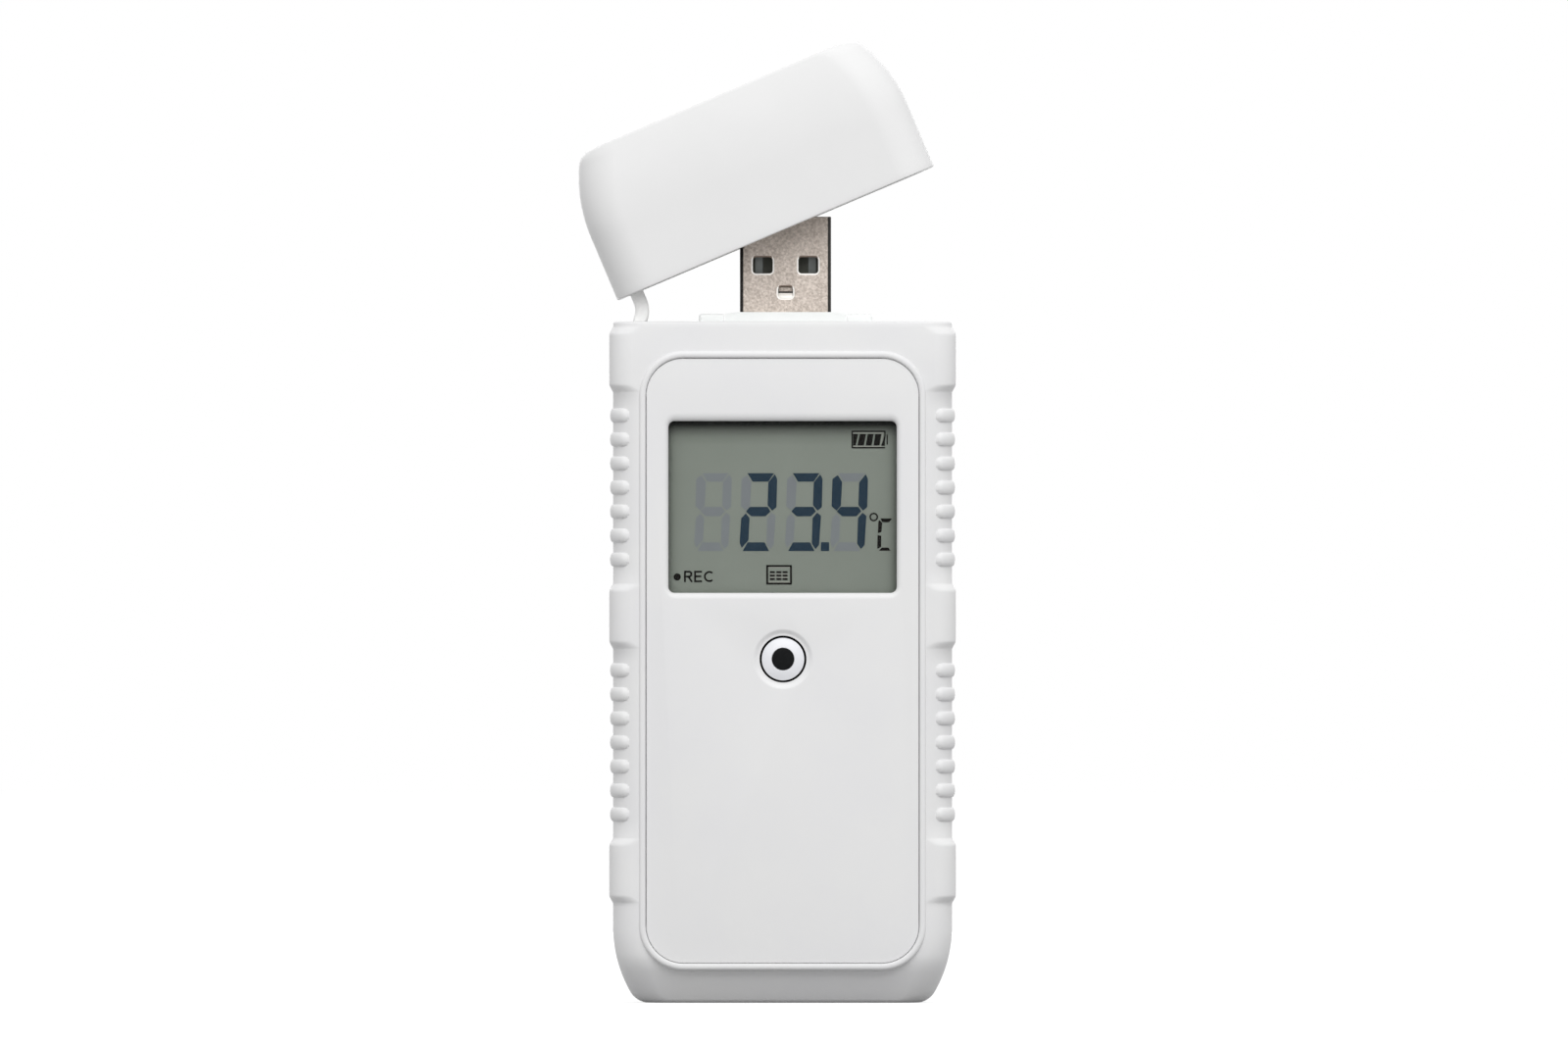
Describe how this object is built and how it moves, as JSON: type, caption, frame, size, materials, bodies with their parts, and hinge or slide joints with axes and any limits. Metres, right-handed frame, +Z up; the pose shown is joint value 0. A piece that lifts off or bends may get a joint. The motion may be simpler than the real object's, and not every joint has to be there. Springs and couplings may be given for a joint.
{
  "type": "temperature data logger",
  "caption": "Pocket temperature logger in a ribbed soft sleeve, with a display, one push button, a USB plug and a tethered pull-off cap.",
  "frame": {"origin": "middle of the flat bottom end, at mid thickness", "axes": "+Z up along the logger towards its plug and cap, +X to the right seen from the display side, display facing -Y"},
  "size_m": [0.0496, 0.0169, 0.1269],
  "materials": {
    "soft_white": "soft white elastomer, satin",
    "panel_white": "white moulded plastic, fine satin",
    "cap_white": "white moulded plastic, smooth satin",
    "inner_white": "unpainted white plastic",
    "dark_rubber": "black silicone",
    "screw_steel": "zinc-plated steel",
    "clear_window": "clear acrylic",
    "display_glass": "grey-green reflective liquid crystal display",
    "board_green": "green solder mask",
    "chip_black": "black moulding compound",
    "can_metal": "drawn metal can",
    "sensor_brown": "dipped resin bead",
    "button_white": "white keycap plastic",
    "dot_black": "black inlay",
    "plug_steel": "nickel-plated folded steel",
    "tongue_plastic": "white insulating plastic",
    "gold_contacts": "gold-plated contact strip",
    "cell_steel": "nickel-plated coin cell"
  },
  "bodies": {
    "housing": {"grip_sleeve": "soft_white", "front_shell": "panel_white", "rear_shell": "panel_white", "case_gasket": "dark_rubber", "case_screws": "screw_steel", "display_window": "clear_window", "lcd_glass": "display_glass", "lcd_frame": "inner_white", "zebra_strips": "dark_rubber", "circuit_board": "board_green", "microcontroller": "chip_black", "memory_chip": "chip_black", "crystal": "can_metal", "temperature_sensor": "sensor_brown", "button_switch": "chip_black", "usb_shell": "plug_steel", "usb_tongue": "tongue_plastic", "usb_contacts": "gold_contacts", "plug_collar": "panel_white", "battery_cell": "cell_steel", "battery_contact_plus": "gold_contacts", "battery_contact_minus": "gold_contacts"},
    "button": {"button_cap": "button_white", "button_dot": "dot_black", "switch_plunger": "chip_black"},
    "battery_door": {"battery_door": "panel_white", "door_seal": "dark_rubber"},
    "tether": {"tether_anchor": "inner_white", "cap_tether": "soft_white"},
    "cap": {"cap_shell": "cap_white", "cap_liner": "inner_white"}
  },
  "joints": [
    {"name": "button_press", "type": "slide", "parent": "housing", "child": "button", "axis": [0, 1, 0], "range_m": [0, 0.0004], "stiffness_N_per_m": 600, "springref_m": -0.001},
    {"name": "door_turn", "type": "hinge", "parent": "housing", "child": "battery_door", "pos_m": [0, 0.0082, 0.03], "axis": [0, 1, 0], "range_deg": [0, 60]},
    {"name": "tether_pull", "type": "slide", "parent": "housing", "child": "tether", "axis": [0, 0, 1], "range_m": [-0.00244, 0.004]},
    {"name": "cap_swing", "type": "hinge", "parent": "tether", "child": "cap", "pos_m": [-0.0226, 0, 0.09449], "axis": [0, -1, 0], "range_deg": [-23, 97], "stiffness_Nm_per_rad": 0.03, "deforming": ["cap_tether"]}
  ]
}
